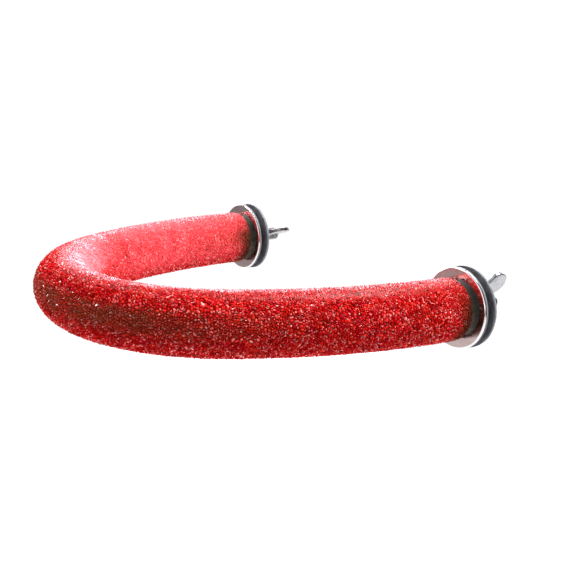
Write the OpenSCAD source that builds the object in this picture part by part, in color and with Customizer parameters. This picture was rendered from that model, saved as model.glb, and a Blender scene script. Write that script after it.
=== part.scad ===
// Bird perch: a sand-coated wooden bar bent into a U, bolted by its two ends to the wire mesh of a cage.
// X runs along the cage wall, the bar reaches out of it along -Y, and Z is up.
// The origin is midway between the two studs, in the plane where the front washers meet the mesh.

/* [Bar] */
// Distance between the axes of the two legs at the cage
leg_spacing = 150; // [120:5:190]
// Distance from the ends of the rod to the middle of the bar's front, on its centreline
reach = 121.5; // [100:0.5:160]
// Diameter of the wooden rod inside the coat
rod_d = 22; // [16:1:28]
// Thickness of the sand coat
coat_t = 1.2; // [0.8:0.1:2]
// Length of bare rod that stands out of the coat at each end
bare_end = 2; // [1:0.5:4]

/* [Washers] */
// Outer diameter of the four washers
washer_d = 32; // [26:1:40]
// Thickness of one washer
washer_t = 1.5; // [1:0.1:2.5]
// Width of the bevel round both edges of a washer
washer_edge = 0.3; // [0.1:0.05:0.4]
// Radial clearance between a washer's hole and the stud
washer_clear = 0.2; // [0.1:0.05:0.4]

/* [Cage mesh] */
// Thickness of the cage wire that is clamped between a front and a rear washer
wire_t = 3.4; // [2:0.2:5]

/* [Studs] */
// Outside diameter of the stud's threads
stud_d = 6; // [5:0.5:8]
// Length of stud inside the rod
stud_in = 28; // [20:1:35]
// Length of the tapered point of the wood thread
point_l = 6; // [4:0.5:10]
// Length of stud that shows beyond the wing nut when the mesh is clamped
stud_spare = 7; // [4:0.5:12]
// Width of the bevel on the stud's free end
stud_bevel = 0.8; // [0.4:0.1:1.2]

/* [Wing nuts] */
// Diameter of the hub where it bears on the rear washer
hub_d = 12; // [11:0.5:14]
// Diameter of the hub at its far end
hub_top_d = 10.5; // [9.5:0.5:12]
// Length of the hub and of its thread
hub_h = 8; // [6:0.5:10]
// Distance across the tips of the two wings
wing_span = 30; // [26:1:36]
// Height of the wings over the face of the rear washer
wing_h = 15; // [13:0.5:18]
// Thickness of a wing
wing_t = 2.4; // [1.6:0.1:3]
// Radius of a wing's round tip
wing_tip_r = 4.5; // [3.5:0.1:5.5]
// Height of the lowest edge of a wing's root over the rear washer
wing_foot = 1; // [0.5:0.1:2]
// Radial clearance between the nut's bore and the stud
nut_clear = 0.05; // [0.02:0.01:0.1]
// Width of the bevel at both mouths of the nut's bore
mouth_bevel = 0.6; // [0.2:0.1:0.8]
// Angle of the left nut's wings above the horizontal
left_wing_angle = 20; // [0:5:175]
// Angle of the right nut's wings above the horizontal
right_wing_angle = 65; // [0:5:175]

/* [Hidden] */
$fn = 96;

// Sides on which the two ends of the bar lie
left = -1;
right = 1;
// How far a cutting shape runs past the face that it opens
overrun = 1;
// Step to which the bar's radii and centres are rounded, so that the ends of its arcs meet exactly
grid = 0.01;
// Overlap that joins the arcs into one solid, too thin to measure
hair = 0.00001;
// Where the root of a wing starts, as a share of the hub's top radius
wing_root_share = 0.7;
// The bar is two leg arcs and a front arc that meet at tangents. The centres of a leg's arc and of the
// front arc are the sharp corners of a right triangle, whose sides are these whole numbers of bend units.
triangle_depth = 8;
triangle_width = 15;
triangle_slope = 17;

function on_grid(length) = round(length / grid) * grid;

coat_d = rod_d + 2 * coat_t;
stud_r = stud_d / 2;
washer_hole_r = stud_r + washer_clear;
bore_r = stud_r + nut_clear;

// Positions along Y, from the bar's front to the stud's free end
rod_end_y = -washer_t;
coat_end_y = rod_end_y - bare_end;
rear_washer_y = wire_t;
nut_y = rear_washer_y + washer_t;
stud_end_y = nut_y + hub_h + stud_spare;
stud_point_y = rod_end_y - stud_in;

// Radii and centres of the arcs, worked out from the spacing and the reach
half_spacing = on_grid(leg_spacing / 2);
bend_unit = on_grid((reach - half_spacing) / (triangle_depth + triangle_width - triangle_slope));
leg_r = half_spacing + triangle_width * bend_unit;
front_r = leg_r - triangle_slope * bend_unit;
leg_centre = [half_spacing - leg_r, on_grid(rod_end_y)];
front_centre = [0, leg_centre[1] - triangle_depth * bend_unit];
// From either centre through the place where a leg meets the front arc, and on past the bar
meeting_line = on_grid((leg_r + coat_d) / triangle_depth) * [triangle_width, -triangle_depth];

coat_colour = [0.80, 0.07, 0.09];
wood_colour = [0.45, 0.33, 0.22];
steel_colour = [0.62, 0.64, 0.66];
chrome_colour = [0.82, 0.83, 0.84];

// Turns a shape that stands along +Z so that it points along +Y, away from the bar
module along_y() {
    rotate([-90, 0, 0])
        children();
}

// Moves a shape to the axis of one leg at the cage
module at_leg(side) {
    translate([side * leg_spacing / 2, 0, 0])
        children();
}

// Block with the given outline that reaches over and under the whole bar
module block(outline) {
    linear_extrude(coat_d + 2 * overrun, center = true)
        polygon(outline);
}

// Sweeps a flat shape, drawn round the origin, along one leg's arc
module along_leg() {
    translate(leg_centre)
        intersection() {
            rotate_extrude(angle = 90, start = -90)
                translate([leg_r, 0])
                    children();
            block([[0, 0], [meeting_line[0], overrun], meeting_line - [0, hair]]);
        }
}

// Sweeps a flat shape, drawn round the origin, along the front arc
module along_front() {
    translate(front_centre)
        intersection() {
            rotate_extrude(angle = 180, start = -180)
                translate([front_r, 0])
                    children();
            block([[0, 0], meeting_line, [-meeting_line[0], meeting_line[1]]]);
        }
}

// Sweeps a flat shape along the whole bent centreline of the bar
module along_bar() {
    for (flip = [0, 1])
        mirror([flip, 0, 0])
            along_leg()
                children();
    along_front()
        children();
}

// Hanger bolt: a pointed wood thread in the rod and a machine thread through the mesh, both at their outside diameter
module stud(side) {
    at_leg(side)
        along_y()
            rotate_extrude()
                polygon([
                    [0, stud_point_y],
                    [stud_r, stud_point_y + point_l],
                    [stud_r, stud_end_y - stud_bevel],
                    [stud_r - stud_bevel, stud_end_y],
                    [0, stud_end_y],
                ]);
}

// Wide washer with its front face, towards the bar, at the given place along Y
module washer(side, front_y) {
    rim_r = washer_d / 2;
    at_leg(side)
        translate([0, front_y, 0])
            along_y()
                rotate_extrude()
                    polygon([
                        [washer_hole_r, 0],
                        [rim_r - washer_edge, 0],
                        [rim_r, washer_edge],
                        [rim_r, washer_t - washer_edge],
                        [rim_r - washer_edge, washer_t],
                        [washer_hole_r, washer_t],
                    ]);
}

// Where the tangent from a point touches a circle, on the side given by turn (1 or -1)
function tangent_point(from, centre, r, turn) =
    let (
        gap = from - centre,
        bearing = atan2(gap[1], gap[0]) + turn * acos(r / norm(gap))
    )
    centre + r * [cos(bearing), sin(bearing)];

// Outline of one wing: a web that runs from the hub's wall to a round tip
module wing_outline() {
    tip = [wing_span / 2 - wing_tip_r, wing_h - wing_tip_r];
    root_r = wing_root_share * hub_top_d / 2;
    low_root = [root_r, wing_foot];
    high_root = [root_r, hub_h];
    translate(tip)
        circle(r = wing_tip_r);
    polygon([
        low_root,
        tangent_point(low_root, tip, wing_tip_r, 1),
        tip,
        tangent_point(high_root, tip, wing_tip_r, -1),
        high_root,
    ]);
}

// Bore of a wing nut with a bevel at each mouth
module nut_bore() {
    mouth_r = bore_r + mouth_bevel;
    rotate_extrude()
        polygon([
            [0, -overrun],
            [mouth_r, -overrun],
            [mouth_r, 0],
            [bore_r, mouth_bevel],
            [bore_r, hub_h - mouth_bevel],
            [mouth_r, hub_h],
            [mouth_r, wing_h],
            [0, wing_h],
        ]);
}

// Wing nut that bears on the rear washer
module wing_nut(side, wing_angle) {
    at_leg(side)
        translate([0, nut_y, 0])
            along_y()
                rotate([0, 0, -wing_angle])
                    difference() {
                        union() {
                            cylinder(d1 = hub_d, d2 = hub_top_d, h = hub_h);
                            for (flip = [0, 1])
                                mirror([flip, 0, 0])
                                    rotate([90, 0, 0])
                                        linear_extrude(wing_t, center = true)
                                            wing_outline();
                        }
                        nut_bore();
                    }
}

module perch_core() {
    color(wood_colour)
        difference() {
            along_bar()
                circle(d = rod_d);
            stud(left);
            stud(right);
        }
}

// The coat stops short of the rod's ends
module sand_coat() {
    outer_x = half_spacing + coat_d;
    color(coat_colour)
        difference() {
            along_bar()
                difference() {
                    circle(d = coat_d);
                    circle(d = rod_d);
                }
            block([
                [-outer_x, coat_end_y],
                [outer_x, coat_end_y],
                [outer_x, rod_end_y + overrun],
                [-outer_x, rod_end_y + overrun],
            ]);
        }
}

module stud_left() {
    color(steel_colour)
        stud(left);
}

module stud_right() {
    color(steel_colour)
        stud(right);
}

module front_washer_left() {
    color(chrome_colour)
        washer(left, rod_end_y);
}

module front_washer_right() {
    color(chrome_colour)
        washer(right, rod_end_y);
}

module rear_washer_left() {
    color(chrome_colour)
        washer(left, rear_washer_y);
}

module rear_washer_right() {
    color(chrome_colour)
        washer(right, rear_washer_y);
}

module wing_nut_left() {
    color(steel_colour)
        wing_nut(left, left_wing_angle);
}

module wing_nut_right() {
    color(steel_colour)
        wing_nut(right, right_wing_angle);
}

perch_core();
sand_coat();
stud_left();
stud_right();
front_washer_left();
front_washer_right();
rear_washer_left();
rear_washer_right();
wing_nut_left();
wing_nut_right();
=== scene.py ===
"""Bird perch: a sand-coated bar bent into a U, with its clamp hardware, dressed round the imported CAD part.

X runs from the left leg to the right one, the bar reaches out along -Y, and Z is up. Lengths are in metres.
"""

import math
from functools import cache

import bmesh
import bpy
import numpy as np
from mathutils import Euler, Matrix, Vector


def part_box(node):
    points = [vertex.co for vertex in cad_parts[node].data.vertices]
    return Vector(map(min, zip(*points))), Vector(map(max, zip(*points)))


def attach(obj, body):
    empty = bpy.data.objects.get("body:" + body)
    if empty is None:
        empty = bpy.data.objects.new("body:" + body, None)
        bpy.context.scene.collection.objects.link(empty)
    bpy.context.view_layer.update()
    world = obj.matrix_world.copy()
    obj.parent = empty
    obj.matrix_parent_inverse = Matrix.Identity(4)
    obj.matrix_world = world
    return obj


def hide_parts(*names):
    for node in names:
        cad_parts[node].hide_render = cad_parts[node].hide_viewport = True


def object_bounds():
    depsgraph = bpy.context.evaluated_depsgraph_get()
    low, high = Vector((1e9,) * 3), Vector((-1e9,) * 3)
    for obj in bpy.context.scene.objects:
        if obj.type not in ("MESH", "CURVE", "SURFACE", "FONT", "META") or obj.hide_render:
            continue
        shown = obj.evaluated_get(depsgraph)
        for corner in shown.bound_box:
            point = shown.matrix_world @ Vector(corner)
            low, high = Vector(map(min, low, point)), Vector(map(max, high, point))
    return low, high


MM = 0.001
SIDES = {"left": -1, "right": 1}

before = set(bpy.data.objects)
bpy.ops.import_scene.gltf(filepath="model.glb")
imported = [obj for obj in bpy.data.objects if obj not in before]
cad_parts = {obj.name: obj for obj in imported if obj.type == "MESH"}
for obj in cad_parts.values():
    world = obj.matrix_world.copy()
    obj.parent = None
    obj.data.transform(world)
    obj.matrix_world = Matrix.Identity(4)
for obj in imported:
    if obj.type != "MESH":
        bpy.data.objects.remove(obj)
cad_low, cad_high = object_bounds()


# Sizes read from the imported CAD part


def measured(length):
    """A length on the CAD mesh, freed of its last rounding."""
    return round(length / MM, 2) * MM


core_low, core_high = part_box("perch_core")
coat_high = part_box("sand_coat")[1]
stud_low, stud_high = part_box("stud_right")
front_washer_low, front_washer_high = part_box("front_washer_right")
rear_washer_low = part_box("rear_washer_right")[0]
nut_low, nut_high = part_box("wing_nut_right")

ROD_R = measured(core_high.z)
COAT_R = measured(coat_high.z)
COAT_T = COAT_R - ROD_R
ROD_END_Y = measured(core_high.y)
COAT_END_Y = measured(coat_high.y)
REACH = ROD_END_Y - measured(core_low.y + core_high.z)
HALF_SPACING = measured((stud_low.x + stud_high.x) / 2)
STUD_R = measured((stud_high.x - stud_low.x) / 2)
STUD_POINT_Y = measured(stud_low.y)
STUD_END_Y = measured(stud_high.y)
WASHER_R = measured(front_washer_high.z)
WASHER_T = measured(front_washer_high.y - front_washer_low.y)
FRONT_WASHER_Y = measured(front_washer_low.y)
REAR_WASHER_Y = measured(rear_washer_low.y)
NUT_Y = measured(nut_low.y)
NUT_H = measured(nut_high.y - nut_low.y)

# The bar is two leg arcs and a front arc. The centres of a leg's arc and of the front arc are the sharp
# corners of a right triangle, whose sides are these whole numbers of bend units.
TRIANGLE_DEPTH = 8
TRIANGLE_WIDTH = 15
TRIANGLE_SLOPE = 17
BEND_UNIT = (REACH - HALF_SPACING) / (TRIANGLE_DEPTH + TRIANGLE_WIDTH - TRIANGLE_SLOPE)
LEG_BEND_R = HALF_SPACING + TRIANGLE_WIDTH * BEND_UNIT
FRONT_BEND_R = LEG_BEND_R - TRIANGLE_SLOPE * BEND_UNIT
LEG_TURN = math.atan(TRIANGLE_DEPTH / TRIANGLE_WIDTH)
FRONT_HALF_TURN = math.pi / 2 - LEG_TURN
LEG_CENTRE = (HALF_SPACING - LEG_BEND_R, ROD_END_Y)
FRONT_CENTRE = (0.0, ROD_END_Y - TRIANGLE_DEPTH * BEND_UNIT)
FRONT_HALF_LENGTH = FRONT_BEND_R * FRONT_HALF_TURN
BAR_HALF_LENGTH = FRONT_HALF_LENGTH + LEG_BEND_R * LEG_TURN


# Mesh helpers

# Points of one piece that lie closer than this are one point
MERGE_DISTANCE = 0.002 * MM
# Edges stay sharp where their faces meet at more than this angle, in degrees
CREASE_DEG = 40


def mesh_object(name, points, faces):
    """A new object with flat faces, from a list of points and a list of faces."""
    mesh = bpy.data.meshes.new(name)
    mesh.from_pydata(points, [], faces)
    mesh.validate()
    mesh.update()
    piece = bpy.data.objects.new(name, mesh)
    bpy.context.scene.collection.objects.link(piece)
    return piece


def smooth_up_to(piece, degrees):
    """Smooth shading, with an edge kept sharp where its faces meet at more than this angle."""
    piece.data.shade_smooth()
    piece.data.set_sharp_from_angle(angle=math.radians(degrees))


def apply_modifiers(piece):
    """Puts the shape that the modifiers give into the mesh itself."""
    evaluated = piece.evaluated_get(bpy.context.evaluated_depsgraph_get())
    mesh = bpy.data.meshes.new_from_object(evaluated)
    piece.modifiers.clear()
    piece.data = mesh


def weld(piece, distance):
    """Merges points closer than the distance and turns all faces outward."""
    work = bmesh.new()
    work.from_mesh(piece.data)
    bmesh.ops.remove_doubles(work, verts=work.verts, dist=distance)
    bmesh.ops.dissolve_degenerate(work, edges=work.edges, dist=distance / 2)
    bmesh.ops.recalc_face_normals(work, faces=work.faces)
    work.to_mesh(piece.data)
    work.free()


def joined(pieces):
    """One object that holds the meshes of all the pieces."""
    work = bmesh.new()
    for piece in pieces:
        work.from_mesh(piece.data)
    pieces[0].data.clear_geometry()
    work.to_mesh(pieces[0].data)
    work.free()
    for piece in pieces[1:]:
        bpy.data.objects.remove(piece)
    return pieces[0]


def add_attribute(piece, name, domain, values):
    """Keeps a number for each face or point on the mesh."""
    attribute = piece.data.attributes.new(name, "FLOAT", domain)
    attribute.data.foreach_set("value", values.astype(np.float32))


def add_direction(piece, name, directions):
    """Keeps a direction for each point on the mesh."""
    attribute = piece.data.attributes.new(name, "FLOAT_VECTOR", "POINT")
    attribute.data.foreach_set("vector", directions.astype(np.float32).ravel())


def revolved(name, profile, segments, axis_x, merge, closed=True):
    """A solid turned round an axis along Y at the given X.

    The profile is a loop of (radius, y), or a line that starts and ends on the axis if it isn't closed."""
    count = len(profile)
    turns = np.arange(segments) * 2 * math.pi / segments
    points = [(axis_x + r * math.cos(a), y, r * math.sin(a)) for a in turns for r, y in profile]
    faces = []
    for i in range(segments):
        here = i * count
        after = (i + 1) % segments * count
        for j in range(count if closed else count - 1):
            k = (j + 1) % count
            faces.append((here + j, here + k, after + k, after + j))
    piece = mesh_object(name, points, faces)
    weld(piece, merge)
    return piece


# Sand coat: one small facetted crystal per cell of a shaken honeycomb, wrapped round the bent bar

GRAIN_SEED = 41
GRAIN_SIDES = 6
GRAIN_PITCH = 1.04 * MM
GRAIN_SHAKE = 0.38
# Smallest and largest pull of a grain on the corners that it shares with its neighbours
GRAIN_PULL = (0.45, 1.75)
# Slow waves that bend the rows of grains: how many, their size in grains and their length in grains
WANDER_WAVES = 14
WANDER_SIZE = 0.55
WANDER_LENGTH = (7.0, 22.0)
# How far the peak of a grain lies from its middle, in grains
PEAK_SHIFT = 0.20
COAT_END_ROUND = 1.5 * MM
CREVICE_DEPTH = 0.34 * MM
CREVICE_SPREAD = 0.10 * MM
# Heights of the lowest and the highest peak over the coat's surface, and the two weights of a beta
# distribution that spreads the peaks between them
GRAIN_LOW = -0.06 * MM
GRAIN_HIGH = 0.42 * MM
GRAIN_HEIGHT_WEIGHTS = (2.0, 2.2)
LINING_RINGS = 48
LINING_TONE = 0.5


def arc_at(on_leg):
    """Centre and radius of the leg's arc where on_leg holds, and of the front arc elsewhere."""
    arcs = ((*LEG_CENTRE, LEG_BEND_R), (*FRONT_CENTRE, FRONT_BEND_R))
    return [np.where(on_leg, leg, front) for leg, front in zip(*arcs)]


def bar_frame(s):
    """X, Y and angle of the bend on the centreline, for distances s from the middle of the bar's front."""
    side = np.where(s < 0, -1.0, 1.0)
    s = np.abs(s)
    on_leg = s >= FRONT_HALF_LENGTH
    leg_angle = FRONT_HALF_TURN + (s - FRONT_HALF_LENGTH) / LEG_BEND_R
    angle = np.where(on_leg, leg_angle, s / FRONT_BEND_R)
    centre_x, centre_y, bend_r = arc_at(on_leg)
    x = side * (centre_x + bend_r * np.sin(angle))
    y = centre_y - bend_r * np.cos(angle)
    return x, y, side * angle


def on_bar(s, turn, radius):
    """Points at a distance s along the bar, a turn round it and a radius from its centreline."""
    x, y, bend = bar_frame(s)
    out = radius * np.cos(turn)
    return np.stack([x + out * np.sin(bend), y - out * np.cos(bend), radius * np.sin(turn)], axis=-1)


class CoatGrid:
    """The honeycomb of grains on the coat, and the way from its grid to the bar.

    Each row of grains runs round the bar, the first one at its left end, and every second row is shifted by
    half a grain. The coat's way w starts on the rod's surface, climbs the rounded end and goes on along the
    bar."""

    def __init__(self):
        self.end_length = math.pi / 4 * (COAT_END_ROUND + COAT_T)
        self.half_length = BAR_HALF_LENGTH - (ROD_END_Y - COAT_END_Y)
        self.length = 2 * (self.half_length - COAT_END_ROUND + self.end_length)
        self.columns = round(2 * math.pi * COAT_R / GRAIN_PITCH)
        self.rows = round(self.length / (GRAIN_PITCH * math.sqrt(3) / 2))

    def points(self, grid_row, grid_column, lift):
        """Points of the coat at places on the grid, with lift standing square to its surface."""
        w = grid_row * self.length / self.rows
        turn = grid_column * 2 * math.pi / self.columns
        near = np.minimum(w, self.length - w)
        slope = np.clip(near / self.end_length, 0, 1) * math.pi / 2
        past = np.maximum(near - self.end_length, 0)
        along = COAT_END_ROUND * (1 - np.cos(slope)) + past - lift * np.cos(slope)
        radius = np.maximum(ROD_R + (COAT_T + lift) * np.sin(slope), ROD_R)
        s = np.where(w < self.length / 2, along - self.half_length, self.half_length - along)
        return on_bar(s, turn, radius)


def wander(grid, w, v, rng):
    """How far slow waves, which close on themselves round the bar, push the places (w, v) along the bar."""
    push = np.zeros(np.broadcast(w, v).shape)
    for _ in range(WANDER_WAVES):
        length = rng.uniform(*WANDER_LENGTH)
        heading = rng.uniform(0, 2 * math.pi)
        per_column = round(grid.columns * math.cos(heading) / length) / grid.columns
        per_row = math.sin(heading) / length
        push += np.sin(2 * math.pi * (per_column * v + per_row * w) + rng.uniform(0, 2 * math.pi))
    fade = np.clip(np.minimum(w, grid.rows - w) / WANDER_LENGTH[0], 0, 1)
    return WANDER_SIZE * math.sqrt(2 / WANDER_WAVES) * push * fade


def honeycomb(grid, rng):
    """Grid places of the grains' centres, and of the corners where three grains meet, of both kinds."""
    rows, columns = grid.rows, grid.columns
    row = np.arange(rows + 1)[:, None]
    shape = (rows + 1, columns)
    centre_w = row + rng.uniform(-GRAIN_SHAKE, GRAIN_SHAKE, shape)
    centre_v = np.arange(columns) + 0.5 * (row % 2) + rng.uniform(-GRAIN_SHAKE, GRAIN_SHAKE, shape)
    push_w = wander(grid, centre_w, centre_v, rng)
    push_v = wander(grid, centre_w, centre_v, rng)
    centre_w = centre_w + push_w
    centre_v = centre_v + push_v
    pull = rng.uniform(*GRAIN_PULL, shape)

    def centre(r, c):
        """The grain in row r and column c, counted on past the seam."""
        return np.stack([centre_w[r, c % columns], centre_v[r, c % columns] + c // columns * columns])

    def corner(*grains):
        """The meeting point of three grains, nearer to those that pull more."""
        pulls = [pull[r, c % columns] for r, c in grains]
        return sum(p * centre(r, c) for p, (r, c) in zip(pulls, grains)) / sum(pulls)

    r, c = np.mgrid[0:rows, 0:columns]
    odd = r % 2
    up = corner((r, c), (r, c + 1), (r + 1, c + odd))
    down = corner((r + 1, c), (r + 1, c + 1), (r, c + 1 - odd))
    centres = np.stack([centre_w, centre_v])[:, 1:rows]
    return centres, up, down


def facets(grid):
    """Triangles round each grain, as indices into the up corners, the down corners and then the grains."""
    rows, columns = grid.rows, grid.columns
    up = np.arange(rows * columns).reshape(rows, columns)
    down = up + rows * columns
    top = 2 * rows * columns + np.arange((rows - 1) * columns).reshape(rows - 1, columns)
    r, c = np.mgrid[1:rows, 0:columns]
    odd = r % 2
    around = [
        up[r, c],
        down[r, (c - 1 + odd) % columns],
        up[r, (c - 1) % columns],
        down[r - 1, (c - 1) % columns],
        up[r - 1, (c - 1 + odd) % columns],
        down[r - 1, c],
    ]
    faces = [np.stack([top, around[k - 1], around[k - 2]], axis=-1) for k in range(GRAIN_SIDES)]
    return np.concatenate(faces).reshape(-1, 3)


def lining(grid, first_free):
    """Points and quads of a plain tube on the rod's surface, which joins the coat's two rims."""
    rows, columns = grid.rows, grid.columns
    up = np.arange(rows * columns).reshape(rows, columns)
    down = up + rows * columns
    first_rim = np.stack([up[0], down[0]], axis=-1).ravel()
    # The shift of the last row says which of its corners comes first
    last_pair = [up[-1], down[-1]] if rows % 2 else [down[-1], up[-1]]
    last_rim = np.stack(last_pair, axis=-1).ravel()
    count = 2 * columns
    turn = (1 + np.arange(count)) * math.pi / columns
    s = np.linspace(-grid.half_length, grid.half_length, LINING_RINGS + 2)[1:-1]
    points = on_bar(*np.meshgrid(s, turn, indexing="ij"), ROD_R)
    inner = first_free + np.arange(LINING_RINGS * count).reshape(LINING_RINGS, count)
    rings = np.concatenate([first_rim[None], inner, last_rim[None]])
    after = np.roll(rings, -1, axis=1)
    quads = np.stack([rings[:-1], after[:-1], after[1:], rings[1:]], axis=-1)
    return points.reshape(-1, 3), quads.reshape(-1, 4)


def build_sand_coat():
    """The whole coat as one closed shell of crystals."""
    rng = np.random.default_rng(GRAIN_SEED)
    grid = CoatGrid()
    centres, up, down = honeycomb(grid, rng)
    grain_lift = GRAIN_LOW + (GRAIN_HIGH - GRAIN_LOW) * rng.beta(*GRAIN_HEIGHT_WEIGHTS, centres[0].shape)
    corner_lift = -CREVICE_DEPTH + rng.uniform(-CREVICE_SPREAD, CREVICE_SPREAD, (2, *up[0].shape))
    # The first and last corners lie on the rod, where the coat ends
    up[0][0] = down[0][0] = 0
    up[0][-1] = down[0][-1] = grid.rows
    corner_lift[:, [0, -1]] = 0
    peaks = centres + rng.uniform(-PEAK_SHIFT, PEAK_SHIFT, centres.shape)
    parts = [
        grid.points(up[0], up[1], corner_lift[0]),
        grid.points(down[0], down[1], corner_lift[1]),
        grid.points(peaks[0], peaks[1], grain_lift),
    ]
    crystal_points = np.concatenate(parts).reshape(-1, 3)
    crystal_faces = facets(grid)
    lining_points, lining_faces = lining(grid, len(crystal_points))
    points = np.concatenate([crystal_points, lining_points])
    piece = mesh_object("sand_coat_grains", points.tolist(), crystal_faces.tolist() + lining_faces.tolist())

    count = len(crystal_faces)
    grains = count // GRAIN_SIDES
    lining_tones = np.full(len(lining_faces), LINING_TONE)
    tones = np.concatenate([np.tile(rng.uniform(0, 1, grains), GRAIN_SIDES), lining_tones])
    facet_tones = np.concatenate([rng.uniform(0, 1, count), lining_tones])
    rise = np.zeros(len(points))
    rise[2 * grid.rows * grid.columns : len(crystal_points)] = 1
    add_attribute(piece, "grain_tone", "FACE", tones)
    add_attribute(piece, "facet_tone", "FACE", facet_tones)
    add_attribute(piece, "grain_rise", "POINT", rise)
    add_direction(piece, "bar_normal", coat_normals(points))
    piece.data.materials.append(sand_material())
    return piece


def coat_normals(points):
    """For each point, the way straight out from the bar's centreline.

    A point is on a leg if it lies beyond the line through the centres of the two arcs."""
    x, y, z = points.T
    on_leg = TRIANGLE_WIDTH * (y - LEG_CENTRE[1]) + TRIANGLE_DEPTH * (np.abs(x) - LEG_CENTRE[0]) > 0
    centre_x, centre_y, bend_r = arc_at(on_leg)
    away = np.stack([x - centre_x * np.sign(x), y - centre_y], axis=-1)
    distance = np.linalg.norm(away, axis=-1)
    flat = away / distance[:, None] * (distance - bend_r)[:, None]
    out = np.column_stack([flat, z])
    return out / np.linalg.norm(out, axis=-1, keepdims=True)


# Studs: a pointed wood thread in the rod, a short plain shank and an M6 machine thread for the wing nut

MACHINE_PITCH = 1.0 * MM
MACHINE_DEPTH = 0.61 * MM
WOOD_PITCH = 2.4 * MM
WOOD_DEPTH = 0.75 * MM
SHANK_R = 2.65 * MM
SHANK_Y = (-7.0 * MM, -2.5 * MM)
POINT_LENGTH = 6.0 * MM
POINT_R = 0.15 * MM
STUD_BEVEL = 0.8 * MM
# Length over which a thread's crests and roots run out into the shank
RUNOUT = 1.2 * MM
# Least radii past the runouts, which lie under the roots of both threads
MACHINE_FLOOR_R = 2.0 * MM
WOOD_FLOOR_R = 1.0 * MM
THREAD_SIDES = 48
THREAD_CREASE_DEG = 28
# Crest and root of one turn, as (share of the pitch, share of the depth)
MACHINE_TURN = [(0.0, 0.0), (0.125, 0.0), (0.4375, 1.0), (0.6875, 1.0)]
WOOD_TURN = [(0.0, 0.0), (0.07, 0.0), (0.34, 0.93), (0.52, 1.0), (0.70, 0.93)]


def thread_rings(y_from, y_to, pitch, depth, turn_shape, limits):
    """Rings of a right-hand thread along Y. limits gives the smallest and largest radius at each y.

    Each row of points follows the helix, so that crests are clean lines, and what lies past an end is held
    there. The rows start a turn before the thread and stop past its end."""
    turns = math.ceil((y_to - y_from) / pitch) + 2
    start = y_from - pitch
    side = np.arange(THREAD_SIDES)
    rows_y, rows_r = [], []
    for turn in range(turns):
        for share, dip in turn_shape:
            y = np.clip(start + pitch * (turn + share + side / THREAD_SIDES), y_from, y_to)
            low, high = limits(y)
            rows_y.append(y)
            rows_r.append(np.clip(STUD_R - depth * dip, low, high))
    return np.array(rows_y), np.array(rows_r), len(turn_shape)


def thread_faces(rows_y, rows_r, per_turn, axis_x, points, faces):
    """Adds the points, and the quads between rows. A row's end joins the start of the row one turn on."""
    first = len(points)
    angle = np.arange(THREAD_SIDES) * 2 * math.pi / THREAD_SIDES
    for y, r in zip(rows_y, rows_r):
        for i in range(THREAD_SIDES):
            points.append((axis_x + r[i] * math.sin(angle[i]), y[i], r[i] * math.cos(angle[i])))
    rows = len(rows_y)
    for k in range(rows - 1):
        here = first + k * THREAD_SIDES
        above = here + THREAD_SIDES
        for i in range(THREAD_SIDES - 1):
            faces.append((here + i, here + i + 1, above + i + 1, above + i))
        if k + per_turn + 1 < rows:
            seam = first + (k + per_turn) * THREAD_SIDES
            faces.append((here + THREAD_SIDES - 1, seam, seam + THREAD_SIDES, above + THREAD_SIDES - 1))


def machine_limits(y):
    """The runout beside the shank and the bevel at the free end."""
    from_shank = np.clip((y - SHANK_Y[1]) / RUNOUT, 0, 1)
    from_end = np.clip((STUD_END_Y - y) / STUD_BEVEL, 0, 1)
    high = np.minimum(SHANK_R + (STUD_R - SHANK_R) * from_shank, STUD_R - STUD_BEVEL * (1 - from_end))
    low = np.minimum(SHANK_R - (SHANK_R - MACHINE_FLOOR_R) * from_shank, high)
    return low, high


def wood_limits(y):
    """The point in the wood and the runout beside the shank."""
    from_point = np.clip((y - STUD_POINT_Y) / POINT_LENGTH, 0, 1)
    from_shank = np.clip((SHANK_Y[0] - y) / RUNOUT, 0, 1)
    high = np.minimum(POINT_R + (STUD_R - POINT_R) * from_point, SHANK_R + (STUD_R - SHANK_R) * from_shank)
    low = np.minimum(SHANK_R - (SHANK_R - WOOD_FLOOR_R) * from_shank, high)
    core = np.maximum(high - WOOD_DEPTH, POINT_R)
    return np.maximum(low, core), high


def build_stud(side_name):
    """A hanger bolt: both threads and the shank as one closed mesh."""
    axis_x = SIDES[side_name] * HALF_SPACING
    points, faces = [], []
    wood = thread_rings(STUD_POINT_Y, SHANK_Y[0], WOOD_PITCH, WOOD_DEPTH, WOOD_TURN, wood_limits)
    machine = thread_rings(
        SHANK_Y[1], STUD_END_Y, MACHINE_PITCH, MACHINE_DEPTH, MACHINE_TURN, machine_limits
    )
    for rings in (wood, machine):
        thread_faces(*rings, axis_x, points, faces)
    # The plain shank joins the wood thread's last ring to the machine thread's first
    last_wood = (len(wood[0]) - 1) * THREAD_SIDES
    first_machine = len(wood[0]) * THREAD_SIDES
    for i in range(THREAD_SIDES):
        j = (i + 1) % THREAD_SIDES
        faces.append((last_wood + i, last_wood + j, first_machine + j, first_machine + i))
    # Flat ends
    faces.append(tuple(range(THREAD_SIDES)))
    faces.append(tuple(range(len(points) - THREAD_SIDES, len(points))))
    piece = mesh_object("threaded_stud_" + side_name, points, faces)
    weld(piece, MERGE_DISTANCE)
    smooth_up_to(piece, THREAD_CREASE_DEG)
    piece.data.materials.append(zinc_material())
    return piece


# Washers: stamped rings with one edge rolled over, polished on that side and dull on the rim and the other,
# where a dark colour is painted shade

WASHER_CLEARANCE = 0.2 * MM
WASHER_HOLE_R = STUD_R + WASHER_CLEARANCE
ROLLED_EDGE = 0.72 * MM
SHARP_EDGE = 0.14 * MM
WASHER_SIDES = 192
EDGE_STEPS = 6
# Width of the narrow flat beside each rounded edge, which keeps the wide faces truly flat in reflections
EDGE_GUARD = 0.05 * MM
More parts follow.
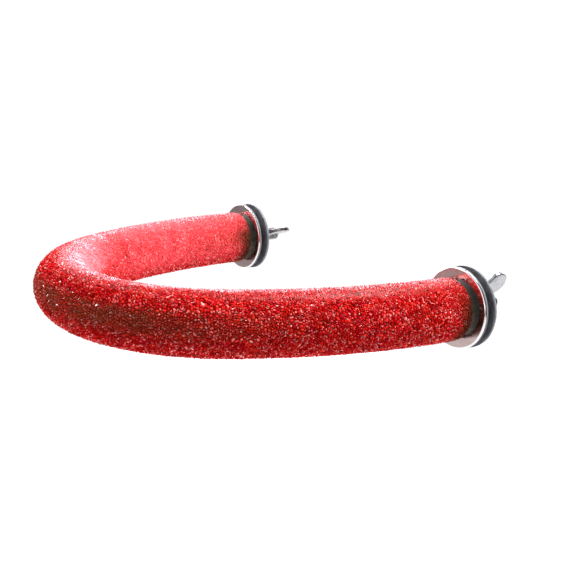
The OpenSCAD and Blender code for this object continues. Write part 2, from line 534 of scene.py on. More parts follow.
# How far the polish reaches round the rolled edge, as a share of the edge's depth, and how dull it is, from
# a mirror at 0 to bare steel at 1, whose dark colour is painted shade. The wing nuts have worn the polish of
# the rear washers.
MIRROR = (0.75, 0.0)
WORN = (0.15, 0.50)


def rounded_corner(corner, into, out_of, size):
    """Points of a quarter round at a corner. into and out_of are the unit ways along the outline."""
    into, out_of = Vector(into), Vector(out_of)
    centre = Vector(corner) - into * size + out_of * size
    points = [tuple(centre - out_of * size - into * EDGE_GUARD)]
    for k in range(EDGE_STEPS + 1):
        a = k / EDGE_STEPS * math.pi / 2
        points.append(tuple(centre + into * size * math.sin(a) - out_of * size * math.cos(a)))
    points.append(tuple(centre + into * size + out_of * EDGE_GUARD))
    return points


def build_washer(name, side_name, front_y, rolled_side, polish):
    """A washer whose rolled edge faces the bar, at rolled_side -1, or the wing nut, at 1."""
    back_y = front_y + WASHER_T
    front_edge, back_edge = (ROLLED_EDGE, SHARP_EDGE) if rolled_side < 0 else (SHARP_EDGE, ROLLED_EDGE)
    outline = rounded_corner((WASHER_R, front_y), (1, 0), (0, 1), front_edge)
    outline += rounded_corner((WASHER_R, back_y), (0, 1), (-1, 0), back_edge)
    outline += rounded_corner((WASHER_HOLE_R, back_y), (-1, 0), (0, -1), back_edge)
    outline += rounded_corner((WASHER_HOLE_R, front_y), (0, -1), (1, 0), front_edge)
    axis_x = SIDES[side_name] * HALF_SPACING
    piece = revolved(name, outline, WASHER_SIDES, axis_x, MERGE_DISTANCE)
    smooth_up_to(piece, CREASE_DEG)
    rolled_y = front_y if rolled_side < 0 else back_y
    depth_share, least_dull = polish
    depth = ROLLED_EDGE * depth_share
    # Faces marked dull get the dark steel colour of chrome_material, which is painted shade
    dull = [least_dull if abs(face.center.y - rolled_y) <= depth else 1.0 for face in piece.data.polygons]
    add_attribute(piece, "dull", "FACE", np.array(dull))
    piece.data.materials.append(chrome_material())
    return piece


# Wing nuts: hub and wings grown together with soft fillets, then bored. They are made in millimetres, with
# the sizes of the CAD part, and scaled at the end.

NUT_SCALE = 1000.0
NUT_MERGE_DISTANCE = 0.001
HUB_R = 6.0
HUB_TOP_R = 5.25
HUB_HEIGHT = 8.0
HUB_EDGE = 0.5
WING_SPAN = 30.0
WING_HEIGHT = NUT_H * NUT_SCALE
WING_T = 2.4
WING_TIP_R = 4.5
WING_FOOT = 1.0
WING_ROOT_R = 3.7
WING_TIP_SHARE = 0.78
WING_OUTLINE_STEPS = 20
# Size of the remesh that joins hub and wings, and the strength and number of the passes that soften it
NUT_VOXEL = 0.26
NUT_SOFTENING = 0.5
NUT_PASSES = 7
NUT_BORE_R = 3.05
NUT_MOUTH = 0.6
# How far the cutter of the bore runs past the hub at both ends
BORE_OVERRUN = 1.0
NUT_SIDES = 96
WING_ANGLES_DEG = {"left": 20, "right": 65}


def tangent_angle(start, centre, radius, turn):
    """Bearing, seen from a circle's centre, of the point where a tangent from start touches it."""
    gap = Vector(start) - Vector(centre)
    return math.atan2(gap.y, gap.x) + turn * math.acos(radius / gap.length)


def wing_outline():
    """Outline of one wing as (x, height) from the hub's wall out and round the tip."""
    tip = (WING_SPAN / 2 - WING_TIP_R, WING_HEIGHT - WING_TIP_R)
    low_root = (WING_ROOT_R, WING_FOOT)
    high_root = (WING_ROOT_R, HUB_HEIGHT - HUB_EDGE)
    first = tangent_angle(low_root, tip, WING_TIP_R, 1)
    last = tangent_angle(high_root, tip, WING_TIP_R, -1)
    while last < first:
        last += 2 * math.pi
    round_tip = []
    for k in range(WING_OUTLINE_STEPS + 1):
        a = first + (last - first) * k / WING_OUTLINE_STEPS
        round_tip.append((tip[0] + WING_TIP_R * math.cos(a), tip[1] + WING_TIP_R * math.sin(a)))
    return [low_root, *round_tip, high_root]


def rough_wing(side):
    """One wing as a flat plate that thins towards its tip, with its height along Y."""
    outline = wing_outline()
    reach = WING_SPAN / 2 - WING_ROOT_R
    points = []
    for face_side in (-1, 1):
        for x, height in outline:
            out = (x - WING_ROOT_R) / reach
            half = WING_T / 2 * (1 + (WING_TIP_SHARE - 1) * out)
            points.append((side * x, height, face_side * half))
    count = len(outline)
    faces = [tuple(range(count)), tuple(range(count, 2 * count))]
    for i in range(count):
        j = (i + 1) % count
        faces.append((i, j, count + j, count + i))
    return mesh_object("rough_wing", points, faces)


def rough_hub():
    """The hub, solid, with its height along Y."""
    outline = [
        (0, 0),
        (HUB_R - HUB_EDGE / 2, 0),
        (HUB_R, HUB_EDGE),
        (HUB_TOP_R, HUB_HEIGHT - HUB_EDGE),
        (HUB_TOP_R - HUB_EDGE, HUB_HEIGHT),
        (0, HUB_HEIGHT),
    ]
    return revolved("rough_hub", outline, NUT_SIDES, 0.0, NUT_MERGE_DISTANCE, closed=False)


def bore_cutter():
    """What the bore and the bevels at its mouths take out of the hub."""
    mouth_r = NUT_BORE_R + NUT_MOUTH
    outline = [
        (0, -BORE_OVERRUN),
        (mouth_r, -BORE_OVERRUN),
        (mouth_r, 0),
        (NUT_BORE_R, NUT_MOUTH),
        (NUT_BORE_R, HUB_HEIGHT - NUT_MOUTH),
        (mouth_r, HUB_HEIGHT),
        (mouth_r, HUB_HEIGHT + BORE_OVERRUN),
        (0, HUB_HEIGHT + BORE_OVERRUN),
    ]
    return revolved("bore_cutter", outline, NUT_SIDES, 0.0, NUT_MERGE_DISTANCE, closed=False)


def grown_nut():
    """The wing nut in millimetres, with its axis along Y and its bearing face at zero."""
    rough = joined([rough_hub(), rough_wing(-1), rough_wing(1)])
    weld(rough, NUT_MERGE_DISTANCE)
    remesh = rough.modifiers.new("remesh", "REMESH")
    remesh.mode = "VOXEL"
    remesh.voxel_size = NUT_VOXEL
    soften = rough.modifiers.new("soften", "SMOOTH")
    soften.factor = NUT_SOFTENING
    soften.iterations = NUT_PASSES
    apply_modifiers(rough)
    flatten_foot(rough)
    cutter = bore_cutter()
    bore = rough.modifiers.new("bore", "BOOLEAN")
    bore.operation = "DIFFERENCE"
    bore.solver = "EXACT"
    bore.object = cutter
    apply_modifiers(rough)
    bpy.data.objects.remove(cutter)
    return rough


def flatten_foot(piece):
    """Brings the smoothed bearing face back to a true flat at height zero."""
    for vertex in piece.data.vertices:
        x, y, z = vertex.co
        if y < NUT_VOXEL and math.hypot(x, z) < HUB_R - HUB_EDGE:
            vertex.co.y = 0
        else:
            vertex.co.y = max(y, 0)


def build_wing_nut(side_name):
    """A wing nut in its place, turned about its stud."""
    piece = grown_nut()
    piece.name = piece.data.name = "forged_wing_nut_" + side_name
    turn = Matrix.Rotation(-math.radians(WING_ANGLES_DEG[side_name]), 4, "Y")
    place = Matrix.Translation((SIDES[side_name] * HALF_SPACING, NUT_Y, 0))
    piece.data.transform(place @ turn @ Matrix.Scale(1 / NUT_SCALE, 4))
    piece.data.update()
    smooth_up_to(piece, CREASE_DEG)
    piece.data.materials.append(zinc_material())
    return piece


# Values of the sand's material. Colours are in linear light.

GRAIN_RAMP = [
    (0.00, (0.20, 0.001, 0.001)),
    (0.25, (0.54, 0.006, 0.004)),
    (0.60, (0.81, 0.019, 0.013)),
    (0.85, (0.95, 0.046, 0.036)),
    (1.00, (0.98, 0.18, 0.16)),
]
FACET_RAMP = [(0.0, (0.45, 0.45, 0.45)), (0.8, (1.0, 1.0, 1.0))]
CRIMSON = (0.66, 0.003, 0.028)
# Painted glint: the pale colour of a few facets, as if they mirrored a light
PAINTED_GLINT_COLOUR = (0.97, 0.36, 0.34)
SPECKLE_COLOUR = (0.30, 0.003, 0.003)
# Painted shade: the colour of the crevices between the grains
CREVICE_SHADE_COLOUR = (0.12, 0.002, 0.001)
# Rise from a crevice, up to 1 on a peak, over which the crevice's painted shade gives way to the grain's
# colour
CREVICE_SHADE_RISE = (0.02, 0.45)
PATCH_COLOUR = (0.20, 0.010, 0.008)
# Spans of tone over which a facet turns pale with a painted glint, and over which it comes to glint in its
# gloss
PAINTED_GLINT_FACETS = (0.92, 0.95)
GLINTING_FACETS = (0.84, 0.90)
MATT_ROUGHNESS = 0.62
GLINT_ROUGHNESS = 0.14
GLINT_SPECULAR = 0.50
# Gloss of the binder on the upper side, which shows as a pale sheen where light grazes it. Here and below,
# WAY is where a zone faces, and EDGE is how closely a place must face it.
SHEEN_ROUGHNESS = 0.26
SHEEN_WAY = (0.05, 0.20, 0.978)
SHEEN_EDGE = (0.70, 0.985)
SHEEN_POWER = 3.0
# Painted light: paler sand on top of the left leg and on its inner side, as if more strongly lit. X and Y
# are spans over which a zone fades in, and the strength here is given at both ends of the one along Y.
LEG_PAINTED_LIGHT_WAY = (0.77, 0.0, 0.64)
LEG_PAINTED_LIGHT_EDGE = (-0.05, 0.60)
LEG_PAINTED_LIGHT_X = (-30 * MM, -85 * MM)
LEG_PAINTED_LIGHT_Y = (-5 * MM, -60 * MM)
LEG_PAINTED_LIGHT_STRENGTH = (0.34, 0.80)
LEG_PAINTED_LIGHT_COLOUR = (0.94, 0.125, 0.150)
# Painted sheen: paler sand on the inner side of the front bend, on its left half
BEND_PAINTED_SHEEN_WAY = (0.34, 0.56, 0.75)
BEND_PAINTED_SHEEN_EDGE = (0.60, 0.90)
BEND_PAINTED_SHEEN_X = (15 * MM, -12 * MM)
BEND_PAINTED_SHEEN_Y = (-84 * MM, -100 * MM)
BEND_PAINTED_SHEEN_STRENGTH = 0.60
BEND_PAINTED_SHEEN_COLOUR = (0.98, 0.18, 0.21)
# Painted shade: a browner, darker band on the outer side of the front bend, where it lies in shade. TOP and
# FOOT are the upward tilts over which it fades out above and below, and X is where it fades out to the
# right. Its colours are of crevices and grains.
SHADE_BAND_WAY = (0.45, -0.89, 0.0)
SHADE_BAND_EDGE = (0.20, 0.55)
SHADE_BAND_TOP = (0.40, 0.62)
SHADE_BAND_FOOT = (0.05, -0.38)
SHADE_BAND_X = (40 * MM, 78 * MM)
SHADE_BAND_COLOURS = ((0.045, 0.012, 0.006), (0.24, 0.034, 0.016))
# Painted shade: darker sand at the coat's two ends, beside the washers, less so on top
END_SHADE_Y = (COAT_END_Y - 9.0 * MM, COAT_END_Y - 2.5 * MM)
END_SHADE_STRENGTH = 0.97
END_SHADE_TOP_Z = (3 * MM, 10 * MM)
END_SHADE_TOP_SHARE = 0.10
END_SHADE_COLOURS = ((0.025, 0.008, 0.003), (0.090, 0.018, 0.008))


# Materials

UP = (0.0, 0.0, 1.0)
BLACK = (0.0, 0.0, 0.0, 1.0)
# Polished plating, least and most rough, and the bare steel of the dull sides
POLISHED_ROUGHNESS = (0.15, 0.21)
POLISHED_SPECULAR = 0.5
STEEL_METALLIC = 0.05
STEEL_SPECULAR = 0.10
STEEL_ADDED_ROUGHNESS = 0.24


class Nodes:
    """A node material under way."""

    def __init__(self, name):
        self.material = bpy.data.materials.new(name)
        self.material.use_nodes = True
        self.tree = self.material.node_tree
        self.tree.nodes.clear()
        output = self.tree.nodes.new("ShaderNodeOutputMaterial")
        self.shader = self.tree.nodes.new("ShaderNodeBsdfPrincipled")
        self.tree.links.new(self.shader.outputs["BSDF"], output.inputs["Surface"])
        self.place = self.tree.nodes.new("ShaderNodeTexCoord").outputs["Object"]

    def add(self, kind, **settings):
        """A new node with the given settings."""
        node = self.tree.nodes.new(kind)
        for key, value in settings.items():
            setattr(node, key, value)
        return node

    def put(self, socket, value):
        """Links an output to a socket, or sets the socket to a plain value."""
        if isinstance(value, bpy.types.NodeSocket):
            self.tree.links.new(value, socket)
        else:
            socket.default_value = value

    def attribute(self, name):
        """A number kept on the mesh."""
        return self.add("ShaderNodeAttribute", attribute_name=name).outputs["Fac"]

    def world_normal(self, name):
        """A direction kept on the mesh, turned from the object's own frame to the world's."""
        turn = self.add("ShaderNodeVectorTransform", vector_type="NORMAL")
        turn.convert_from = "OBJECT"
        turn.convert_to = "WORLD"
        self.put(turn.inputs["Vector"], self.direction(name))
        return turn.outputs["Vector"]

    def direction(self, name):
        """A direction kept on the mesh, in the object's own frame."""
        return self.add("ShaderNodeAttribute", attribute_name=name).outputs["Vector"]

    def stretched(self, x, y, z):
        """The object's own coordinates, with each axis scaled."""
        mapping = self.add("ShaderNodeMapping")
        self.put(mapping.inputs["Vector"], self.place)
        mapping.inputs["Scale"].default_value = (x, y, z)
        return mapping.outputs["Vector"]

    def noise(self, size, detail=2.0, roughness=0.5, vector=None):
        """Noise from 0 to 1 with features of about the given size, in metres."""
        noise = self.add("ShaderNodeTexNoise")
        self.put(noise.inputs["Vector"], vector or self.place)
        noise.inputs["Scale"].default_value = 1 / size
        noise.inputs["Detail"].default_value = detail
        noise.inputs["Roughness"].default_value = roughness
        return noise.outputs["Fac"]

    def ramp(self, value, stops):
        """A colour ramp through (place, colour) stops."""
        ramp = self.add("ShaderNodeValToRGB")
        self.put(ramp.inputs["Fac"], value)
        elements = ramp.color_ramp.elements
        while len(elements) < len(stops):
            elements.new(0.5)
        for element, (place, colour) in zip(elements, stops):
            element.position = place
            element.color = (*colour, 1.0)
        return ramp.outputs["Color"]

    def range(self, value, low, high, from_low=0.0, from_high=1.0):
        """The value, moved from one range to another and held inside it."""
        node = self.add("ShaderNodeMapRange")
        self.put(node.inputs["Value"], value)
        limits = {"From Min": from_low, "From Max": from_high, "To Min": low, "To Max": high}
        for key, number in limits.items():
            node.inputs[key].default_value = number
        return node.outputs["Result"]

    def span(self, axis, places, low=0.0, high=1.0):
        """Goes from low to high between two places along one of the object's axes."""
        parts = self.add("ShaderNodeSeparateXYZ")
        self.put(parts.inputs[0], self.place)
        return self.range(parts.outputs[axis], low, high, *places)

    def facing(self, way, edge, low=0.0, high=1.0):
        """Goes from low to high as the bar's surface turns towards the given way."""
        node = self.add("ShaderNodeVectorMath", operation="DOT_PRODUCT")
        self.put(node.inputs[0], self.direction("bar_normal"))
        node.inputs[1].default_value = way
        return self.range(node.outputs["Value"], low, high, *edge)

    def clouds(self, size, detail, levels, low=0.0, high=1.0):
        """Soft patches of the given size: goes from low to high between two levels of the noise."""
        return self.range(self.noise(size, detail), low, high, *levels)

    def mix(self, share, a, b, blend="MIX"):
        """Colour a where the share is 0 and colour b where it is 1."""
        node = self.add("ShaderNodeMix", data_type="RGBA", blend_type=blend)
        self.put(node.inputs[0], share)
        self.put(node.inputs[6], a if isinstance(a, bpy.types.NodeSocket) else (*a, 1.0))
        self.put(node.inputs[7], b if isinstance(b, bpy.types.NodeSocket) else (*b, 1.0))
        return node.outputs[2]

    def math(self, operation, a, b):
        """One operation on two numbers."""
        node = self.add("ShaderNodeMath", operation=operation)
        self.put(node.inputs[0], a)
        self.put(node.inputs[1], b)
        return node.outputs[0]

    def product(self, *shares):
        """All the shares multiplied with each other."""
        result = shares[0]
        for share in shares[1:]:
            result = self.math("MULTIPLY", result, share)
        return result

    def bump(self, height, strength, distance, onto=None):
        """A normal roughened by a height, on top of another bump if one is given."""
        node = self.add("ShaderNodeBump")
        self.put(node.inputs["Height"], height)
        node.inputs["Strength"].default_value = strength
        node.inputs["Distance"].default_value = distance
        if onto is not None:
            self.put(node.inputs["Normal"], onto)
        return node.outputs["Normal"]

    def finish(self, **sockets):
        """Sets the shader's sockets, with spaces in their names written as underscores."""
        for key, value in sockets.items():
            self.put(self.shader.inputs[key.replace("_", " ")], value)
        return self.material

    def finish_glowing(self, glow):
        """Leaves only light of the surface's own."""
        return self.finish(Base_Color=BLACK, Emission_Color=glow, Emission_Strength=1.0)


@cache
def sand_material():
    """Red quartz sand in a red binder: clear-cut grains, a few pale or dark, with painted shade in the
    crevices, painted glints on a few facets, and painted light, sheen and shade in places along the bar.
    """
    n = Nodes("red_quartz_sand")
    facet_tone = n.attribute("facet_tone")
    grain = n.ramp(n.attribute("grain_tone"), GRAIN_RAMP)
    grain = n.mix(n.clouds(2.4 * MM, detail=2.0, levels=(0.42, 0.66), high=0.5), grain, CRIMSON)
    grain = n.mix(1.0, grain, n.ramp(facet_tone, FACET_RAMP), "MULTIPLY")
    # Painted glints: a few facets are paled in colour
    grain = n.mix(n.range(facet_tone, 0.0, 0.75, *PAINTED_GLINT_FACETS), grain, PAINTED_GLINT_COLOUR)
    grain = n.mix(n.clouds(0.35 * MM, detail=3.0, levels=(0.35, 0.65), high=0.35), grain, SPECKLE_COLOUR)
    # Painted shade: the colour darkens from each grain's peak down into the crevices
    rise = n.range(n.attribute("grain_rise"), 0.0, 1.0, *CREVICE_SHADE_RISE)
    colour = n.mix(rise, CREVICE_SHADE_COLOUR, grain)
    colour = n.mix(n.clouds(9 * MM, detail=3.0, levels=(0.45, 0.75), high=0.30), colour, PATCH_COLOUR)
    # Painted light on top of the left leg and on its inner side
    leg_painted_light = n.product(
        n.span("X", LEG_PAINTED_LIGHT_X),
        n.span("Y", LEG_PAINTED_LIGHT_Y, *LEG_PAINTED_LIGHT_STRENGTH),
        n.facing(LEG_PAINTED_LIGHT_WAY, LEG_PAINTED_LIGHT_EDGE),
    )
    colour = n.mix(leg_painted_light, colour, LEG_PAINTED_LIGHT_COLOUR)
    # Painted sheen on the inner side of the front bend
    bend_painted_sheen = n.product(
        n.span("Y", BEND_PAINTED_SHEEN_Y, high=BEND_PAINTED_SHEEN_STRENGTH),
        n.span("X", BEND_PAINTED_SHEEN_X),
        n.facing(BEND_PAINTED_SHEEN_WAY, BEND_PAINTED_SHEEN_EDGE),
    )
    colour = n.mix(bend_painted_sheen, colour, BEND_PAINTED_SHEEN_COLOUR)
    # Painted shade in a browner band on the outer side of the front bend
    shade_band = n.product(
        n.facing(SHADE_BAND_WAY, SHADE_BAND_EDGE),
        n.facing(UP, SHADE_BAND_TOP, 1.0, 0.0),
        n.facing(UP, SHADE_BAND_FOOT, 1.0, 0.0),
        n.span("X", SHADE_BAND_X, 1.0, 0.0),
        n.clouds(7 * MM, detail=3.0, levels=(0.35, 0.60), low=0.45, high=0.90),
    )
    colour = n.mix(shade_band, colour, n.mix(rise, *SHADE_BAND_COLOURS))
    # Painted shade at the coat's two ends, beside the washers
    end_shade = n.product(
        n.span("Y", END_SHADE_Y, high=END_SHADE_STRENGTH),
        n.span("Z", END_SHADE_TOP_Z, 1.0, END_SHADE_TOP_SHARE),
    )
    colour = n.mix(end_shade, colour, n.mix(rise, *END_SHADE_COLOURS))
    glint = n.range(facet_tone, 0.0, 1.0, *GLINTING_FACETS)
    return n.finish(
        Base_Color=colour,
        Roughness=n.range(glint, MATT_ROUGHNESS, GLINT_ROUGHNESS),
        Specular_IOR_Level=n.range(glint, 0.0, GLINT_SPECULAR),
        Normal=n.bump(n.noise(0.22 * MM, detail=2.0), strength=0.35, distance=0.06 * MM),
        Coat_Weight=n.math("POWER", n.facing(SHEEN_WAY, SHEEN_EDGE), SHEEN_POWER),
        Coat_Roughness=SHEEN_ROUGHNESS,
        Coat_Normal=n.world_normal("bar_normal"),
    )


@cache
def chrome_material():
    """Mirror plating with faint smears, and dull steel on the rim and the hidden side, darkened in colour as
    painted shade.
    """
    n = Nodes("mirror_chrome")
    dull = n.attribute("dull")
    smear = n.noise(7 * MM, detail=4.0, roughness=0.6)
    polished = n.ramp(smear, [(0.3, (0.58, 0.57, 0.57)), (0.7, (0.66, 0.65, 0.65))])
    drag = n.noise(1.0, detail=3.0, vector=n.stretched(300, 2500, 300))
    # Painted shade: the rim and hidden side get a dark, nearly non-metal colour in place of the dark
    # reflections and shade there
    painted_dark_steel = n.ramp(drag, [(0.3, (0.065, 0.067, 0.075)), (0.7, (0.145, 0.147, 0.156))])
    polished_roughness = n.range(smear, *POLISHED_ROUGHNESS, 0.35, 0.7)
    ripple = n.bump(n.noise(5 * MM, detail=1.0), strength=0.10, distance=0.12 * MM)
    return n.finish(
        Base_Color=n.mix(dull, polished, painted_dark_steel),
        Metallic=n.range(dull, 1.0, STEEL_METALLIC, WORN[1], 1.0),
        Roughness=n.math("ADD", polished_roughness, n.math("MULTIPLY", dull, STEEL_ADDED_ROUGHNESS)),
        Specular_IOR_Level=n.range(dull, POLISHED_SPECULAR, STEEL_SPECULAR, WORN[1], 1.0),
        Normal=n.bump(n.noise(0.35 * MM, detail=3.0), strength=0.05, distance=0.01 * MM, onto=ripple),
    )


@cache
def zinc_material():
    """Bright zinc plating with a fine crystalline bloom and duller patches."""
    n = Nodes("bright_zinc")
    bloom = n.noise(0.8 * MM, detail=4.0, roughness=0.65)
    patch = n.noise(6 * MM, detail=3.0)
    colour = n.ramp(
        patch,
        [(0.3, (0.19, 0.20, 0.22)), (0.55, (0.27, 0.275, 0.28)), (0.75, (0.33, 0.32, 0.30))],
    )
    tarnish = n.math("ADD", bloom, n.math("MULTIPLY", patch, 0.5))
    return n.finish(
        Base_Color=colour,
        Metallic=1.0,
        Roughness=n.range(tarnish, 0.20, 0.48, from_low=0.5),
        Normal=n.bump(bloom, strength=0.16, distance=0.05 * MM),
    )


@cache
def wood_material():
    """Dark turned hardwood, with its grain along the legs."""
    n = Nodes("dark_hardwood")
    fibre = n.noise(1.0, detail=5.0, roughness=0.6, vector=n.stretched(1400, 160, 1400))
    ring = n.noise(1.0, detail=2.0, vector=n.stretched(420, 30, 420))
    colour = n.ramp(
        fibre,
        [(0.25, (0.022, 0.019, 0.014)), (0.5, (0.052, 0.044, 0.032)), (0.8, (0.098, 0.083, 0.064))],
    )
    return n.finish(
        Base_Color=n.mix(n.range(ring, 0.0, 0.6, 0.35, 0.7), colour, (0.040, 0.037, 0.031)),
        Roughness=n.range(fibre, 0.5, 0.75),
        Specular_IOR_Level=0.3,
        Normal=n.bump(fibre, strength=0.4, distance=0.08 * MM),
    )


# Stage: floor, world, lights and camera

FLOOR_DROP = 120 * MM
FLOOR_CENTRE = (0.15, -0.10)
FLOOR_R = 0.50
FLOOR_SECTORS = 96
SURROUND_R = 4.0
SURROUND_SECTORS = 48
SURROUND_RINGS = 24
# The studio's bright backdrop lies this way, and the room falls off to dark on the other side
BACKDROP_WAY = (-0.81, 0.585, 0.0)
BACKDROP_EDGE = (0.10, 0.80)
BACKDROP_LEVELS = (0.05, 1.3)
# A brighter band of the backdrop over the horizon: its side edge, its lower and upper edge and its level.
# Above its upper edge the backdrop too falls off, to a share of its level.
SKY_SIDE = (0.60, 0.92)
SKY_RISE = (0.04, 0.16)
SKY_FALL = (0.30, 0.62)
SKY_LEVEL = 6.5
CEILING_SHARE = 0.2
BACKDROP_COLOUR = (1.0, 0.92, 1.06)
ROOM_COLOUR = (1.0, 0.85, 0.50)
CAMERA_PLACE = (335.87 * MM, -274.24 * MM, 99.63 * MM)
CAMERA_TURN_DEG = (75.724, -2.440, 54.184)
CAMERA_LENS_MM = 62.5
CAMERA_SENSOR_MM = 36.0
CAMERA_CLIP = (10 * MM, 20.0)
LIGHT_TARGET = (0.0, -50 * MM, 0.0)
LIGHT_DISTANCE = 0.85
# Lights that brighten the bar but aren't mirrored in it or in the chrome
UNMIRRORED = {"back_right_softbox"}
# Each light: bearing from +X and rise in degrees, width and height in metres, and power in watts
LIGHTS = {
    "back_right_softbox": (59, 33, 0.50, 0.75, 27.0),
    "overhead_softbox": (83, 68, 0.55, 0.40, 9.2),
    "left_softbox": (210, 50, 0.40, 0.35, 9.3),
    "low_front_fill": (288, 8, 0.35, 0.35, 3.0),
}
# Upright cards, mirrored in the chrome and otherwise unseen. Bearing and distance are from the right stud,
# and the colour turns from the foot's to the top's between the two heights of fade.
CARDS = {
    "grey_card": {
        "bearing_deg": 215.8,
        "distance": 0.315,
        "width": 0.60,
        "foot": -0.128,
        "top": 0.09,
        "foot_colour": (0.76, 0.55, 0.53),
        "top_colour": (0.27, 0.205, 0.20),
        "fade": (-0.100, -0.045),
    },
    "white_card": {
        "bearing_deg": 265.0,
        "distance": 0.60,
        "width": 1.40,
        "foot": 0.03,
        "top": 0.75,
        "foot_colour": (1.5, 1.5, 1.55),
        "top_colour": (1.5, 1.5, 1.55),
        "fade": (0.0, 0.1),
    },
}


def make_floor():
    """A round pale floor, well below the bar."""
    z = cad_low.z - FLOOR_DROP
    rim = []
    for k in range(FLOOR_SECTORS):
        a = k * 2 * math.pi / FLOOR_SECTORS
        rim.append((FLOOR_CENTRE[0] + FLOOR_R * math.cos(a), FLOOR_CENTRE[1] + FLOOR_R * math.sin(a), z))
    floor = mesh_object("floor", rim, [tuple(range(FLOOR_SECTORS))])
    n = Nodes("pale_floor")
    colour = n.ramp(n.noise(0.5, detail=2.0), [(0.3, (0.46, 0.46, 0.46)), (0.7, (0.49, 0.49, 0.49))])
    floor.data.materials.append(n.finish(Base_Color=colour, Roughness=0.8))


def make_surround():
    """A plain white surround that only the camera sees."""
    work = bmesh.new()
    bmesh.ops.create_uvsphere(
        work, u_segments=SURROUND_SECTORS, v_segments=SURROUND_RINGS, radius=SURROUND_R
    )
    mesh = bpy.data.meshes.new("white_surround")
    work.to_mesh(mesh)
    work.free()
    surround = bpy.data.objects.new("white_surround", mesh)
    bpy.context.scene.collection.objects.link(surround)
    n = Nodes("surround_tone")
    glow = n.ramp(n.noise(2.0, detail=1.0), [(0.3, (1.02, 1.02, 1.02)), (0.7, (1.05, 1.05, 1.05))])
    mesh.materials.append(n.finish_glowing(glow))
    surround.visible_diffuse = False
    surround.visible_glossy = False
    surround.visible_shadow = False


def make_card(name, bearing_deg, distance, width, foot, top, foot_colour, top_colour, fade):
    """A card of graded tone that only mirrors show."""
    bearing = math.radians(bearing_deg)
    out = Vector((math.cos(bearing), math.sin(bearing), 0))
    across = Vector((-out.y, out.x, 0)) * width / 2
    middle = Vector((HALF_SPACING, 0, 0)) + out * distance
    low = middle + Vector((0, 0, foot))
    high = middle + Vector((0, 0, top))
    card = mesh_object(name, [low - across, low + across, high + across, high - across], [(0, 1, 2, 3)])
    n = Nodes(name + "_tone")
    glow = n.mix(n.span("Z", fade), foot_colour, top_colour)
    card.data.materials.append(n.finish_glowing(glow))
    card.visible_camera = False
    card.visible_diffuse = False
    card.visible_shadow = False


def make_world():
    """A white backdrop on one side, a dark room on the other and a dim ceiling."""
    world = bpy.data.worlds.new("studio")
    world.use_nodes = True
    tree = world.node_tree
    background = tree.nodes["Background"]
    way = tree.nodes.new("ShaderNodeTexCoord").outputs["Generated"]
    facing = tree.nodes.new("ShaderNodeVectorMath")
    facing.operation = "DOT_PRODUCT"
    tree.links.new(way, facing.inputs[0])
    facing.inputs[1].default_value = BACKDROP_WAY
    height = tree.nodes.new("ShaderNodeSeparateXYZ")
    tree.links.new(way, height.inputs[0])

    def eased(value, start, end, low, high):
        """Goes smoothly from low to high while the value goes from start to end."""
        node = tree.nodes.new("ShaderNodeMapRange")
        node.interpolation_type = "SMOOTHSTEP"
        tree.links.new(value, node.inputs["Value"])
        for key, number in (("From Min", start), ("From Max", end), ("To Min", low), ("To Max", high)):
            node.inputs[key].default_value = number
        return node.outputs["Result"]

    def joined_by(operation, first, *others):
        """All the values added up or multiplied."""
        for other in others:
            node = tree.nodes.new("ShaderNodeMath")
            node.operation = operation
            tree.links.new(first, node.inputs[0])
            tree.links.new(other, node.inputs[1])
            first = node.outputs[0]
        return first

    side = facing.outputs["Value"]
    rise = height.outputs["Z"]
    backdrop = joined_by(
        "MULTIPLY",
        eased(side, *BACKDROP_EDGE, *BACKDROP_LEVELS),
        eased(rise, *SKY_FALL, 1.0, CEILING_SHARE),
    )
    sky = joined_by(
        "MULTIPLY",
        eased(side, *SKY_SIDE, 0.0, SKY_LEVEL),
        eased(rise, *SKY_RISE, 0.0, 1.0),
        eased(rise, *SKY_FALL, 1.0, 0.0),
    )
    tree.links.new(joined_by("ADD", backdrop, sky), background.inputs["Strength"])
    tint = tree.nodes.new("ShaderNodeMix")
    tint.data_type = "RGBA"
    tree.links.new(eased(side, *BACKDROP_EDGE, 0.0, 1.0), tint.inputs[0])
    tint.inputs[6].default_value = (*ROOM_COLOUR, 1.0)
    tint.inputs[7].default_value = (*BACKDROP_COLOUR, 1.0)
    tree.links.new(tint.outputs[2], background.inputs["Color"])
    bpy.context.scene.world = world


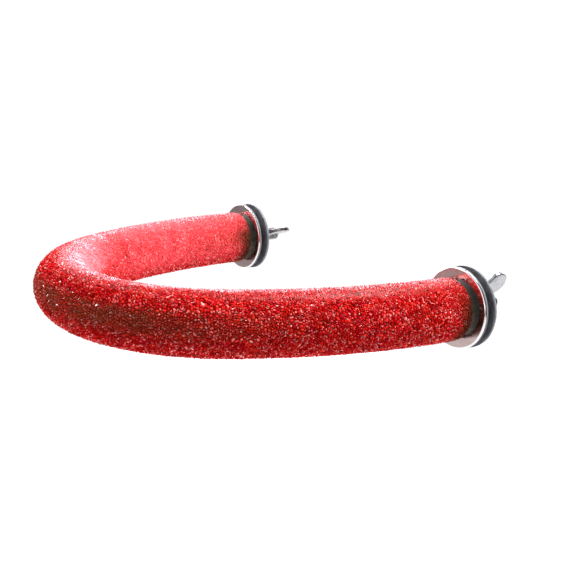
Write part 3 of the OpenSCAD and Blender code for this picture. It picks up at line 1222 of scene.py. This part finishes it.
def make_lights():
    """Soft lights, all turned towards the middle of the bar."""
    for name, (bearing, rise, width, height, power) in LIGHTS.items():
        data = bpy.data.lights.new(name, "AREA")
        data.shape = "RECTANGLE"
        data.size = width
        data.size_y = height
        data.energy = power
        light = bpy.data.objects.new(name, data)
        turn = Euler((0, -math.radians(rise), math.radians(bearing)), "XYZ")
        way = turn.to_matrix() @ Vector((1, 0, 0))
        light.location = Vector(LIGHT_TARGET) + LIGHT_DISTANCE * way
        light.rotation_euler = (-way).to_track_quat("-Z", "Y").to_euler()
        light.visible_camera = False
        light.visible_glossy = name not in UNMIRRORED
        bpy.context.scene.collection.objects.link(light)


def make_camera():
    """Fitted to the outline of the bar and the washers in the photo."""
    data = bpy.data.cameras.new("camera")
    data.lens = CAMERA_LENS_MM
    data.sensor_width = CAMERA_SENSOR_MM
    data.clip_start, data.clip_end = CAMERA_CLIP
    camera = bpy.data.objects.new("camera", data)
    camera.location = CAMERA_PLACE
    camera.rotation_euler = Euler([math.radians(a) for a in CAMERA_TURN_DEG], "XYZ")
    bpy.context.scene.collection.objects.link(camera)
    bpy.context.scene.camera = camera


# The part, piece by piece


def dress(piece, body, node):
    """Puts a new piece in a CAD node's place."""
    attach(piece, body)
    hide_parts(node)


def main():
    """Builds the stage and then the part."""
    make_camera()
    make_world()
    make_lights()
    make_floor()
    make_surround()
    for name, sizes in CARDS.items():
        make_card(name, **sizes)
    bpy.context.scene.view_settings.view_transform = "Standard"

    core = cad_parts["perch_core"]
    core.data.materials.clear()
    core.data.materials.append(wood_material())

    dress(build_sand_coat(), "perch", "sand_coat")
    for side in SIDES:
        dress(build_stud(side), "perch", "stud_" + side)
        front = build_washer("mirror_washer_front_" + side, side, FRONT_WASHER_Y, -1, MIRROR)
        dress(front, "perch", "front_washer_" + side)
        rear = build_washer("mirror_washer_rear_" + side, side, REAR_WASHER_Y, 1, WORN)
        dress(rear, "clamp_washer_" + side, "rear_washer_" + side)
        dress(build_wing_nut(side), "clamp_nut_" + side, "wing_nut_" + side)


main()
